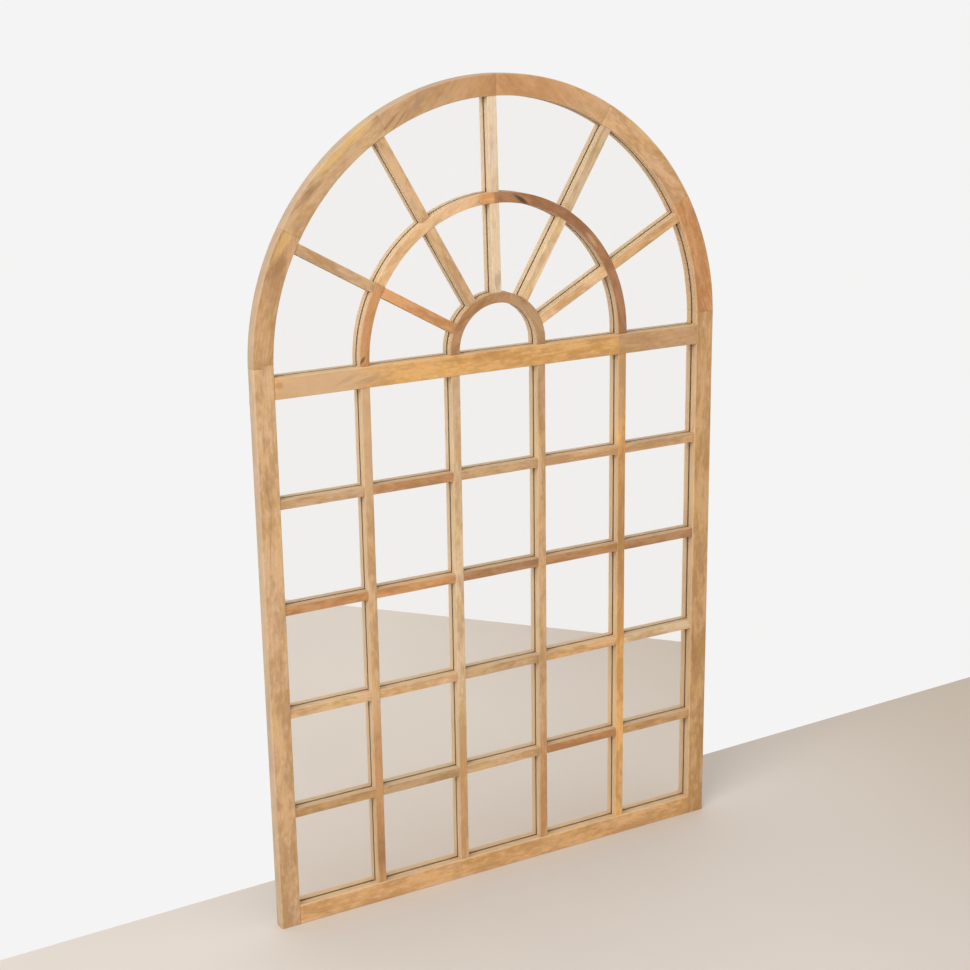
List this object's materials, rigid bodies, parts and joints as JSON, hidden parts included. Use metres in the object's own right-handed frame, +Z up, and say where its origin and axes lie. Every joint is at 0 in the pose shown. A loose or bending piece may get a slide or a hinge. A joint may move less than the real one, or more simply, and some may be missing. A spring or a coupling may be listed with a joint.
{
  "type": "arched window mirror",
  "caption": "Tall mirror in a round-headed wooden window frame, with a grid of glazing bars, a fanlight of spokes and concentric arches, and ring hangers on the back.",
  "frame": {"origin": "middle of the footprint on the floor: half way across the frame and half way through its depth with the hangers, at the underside of the bottom rail", "axes": "+X across the mirror, to the right as seen from the front; +Y from the front towards the back and the wall; +Z up to the crown of the arch"},
  "size_m": [1, 0.0306, 1.6],
  "materials": {
    "wood_honey": "clear matt finish, warm honey tone with open grain",
    "wood_golden": "clear matt finish, golden tone with dark grain streaks",
    "wood_tan": "clear matt finish, light tan tone",
    "wood_cream": "clear matt finish, pale cream tone with fine flecks",
    "wood_russet": "clear matt finish, red-brown tone",
    "wood_umber": "clear matt finish, grey-brown tone with dark streaks",
    "wood_plum": "clear matt finish, dark purple-brown tone with near-black streaks",
    "mirror": "silvered flat glass",
    "backing": "plain thin hardboard, unfinished",
    "hanger_steel": "zinc plated, satin",
    "screw_steel": "zinc plated"
  },
  "bodies": {
    "mirror": {"stile_left": "wood_golden", "stile_right": "wood_golden", "bottom_rail": "wood_honey", "arch_segment_1": "wood_umber", "arch_segment_2": "wood_honey", "arch_segment_3": "wood_tan", "arch_segment_4": "wood_tan", "arch_segment_5": "wood_honey", "arch_segment_6": "wood_russet", "transom_long": "wood_golden", "transom_short": "wood_umber", "upright_bar_1": "wood_tan", "upright_bar_2": "wood_golden", "upright_bar_3": "wood_honey", "upright_bar_4": "wood_honey", "cross_bar_r1_c1": "wood_tan", "cross_bar_r1_c2": "wood_umber", "cross_bar_r1_c3": "wood_tan", "cross_bar_r1_c4": "wood_umber", "cross_bar_r1_c5": "wood_tan", "cross_bar_r2_c1": "wood_russet", "cross_bar_r2_c2": "wood_honey", "cross_bar_r2_c3": "wood_umber", "cross_bar_r2_c4": "wood_russet", "cross_bar_r2_c5": "wood_umber", "cross_bar_r3_c1": "wood_tan", "cross_bar_r3_c2": "wood_honey", "cross_bar_r3_c3": "wood_golden", "cross_bar_r3_c4": "wood_honey", "cross_bar_r3_c5": "wood_tan", "cross_bar_r4_c1": "wood_honey", "cross_bar_r4_c2": "wood_golden", "cross_bar_r4_c3": "wood_golden", "cross_bar_r4_c4": "wood_umber", "cross_bar_r4_c5": "wood_golden", "fan_outer_arc_1": "wood_honey", "fan_outer_arc_2": "wood_tan", "fan_outer_arc_3": "wood_russet", "fan_outer_arc_4": "wood_plum", "fan_outer_arc_5": "wood_umber", "fan_inner_arc_1": "wood_umber", "fan_inner_arc_2": "wood_tan", "fan_outer_spoke_1": "wood_tan", "fan_outer_spoke_2": "wood_golden", "fan_outer_spoke_3": "wood_cream", "fan_outer_spoke_4": "wood_tan", "fan_outer_spoke_5": "wood_honey", "fan_inner_spoke_1": "wood_russet", "fan_inner_spoke_2": "wood_golden", "fan_inner_spoke_3": "wood_cream", "fan_inner_spoke_4": "wood_tan", "fan_inner_spoke_5": "wood_honey", "mirror_glass": "mirror", "backing_board": "backing", "hanger_strap_left": "hanger_steel", "hanger_screw_left": "screw_steel", "hanger_strap_right": "hanger_steel", "hanger_screw_right": "screw_steel"},
    "ring_left": {"hanger_ring_left": "hanger_steel"},
    "ring_right": {"hanger_ring_right": "hanger_steel"}
  },
  "joints": [
    {"name": "ring_left_swing", "type": "hinge", "parent": "mirror", "child": "ring_left", "pos_m": [-0.4905, 0.0125, 1.05], "axis": [1, 0, 0], "range_deg": [0, 180]},
    {"name": "ring_right_swing", "type": "hinge", "parent": "mirror", "child": "ring_right", "pos_m": [0.4905, 0.0125, 1.05], "axis": [1, 0, 0], "range_deg": [0, 180]}
  ]
}
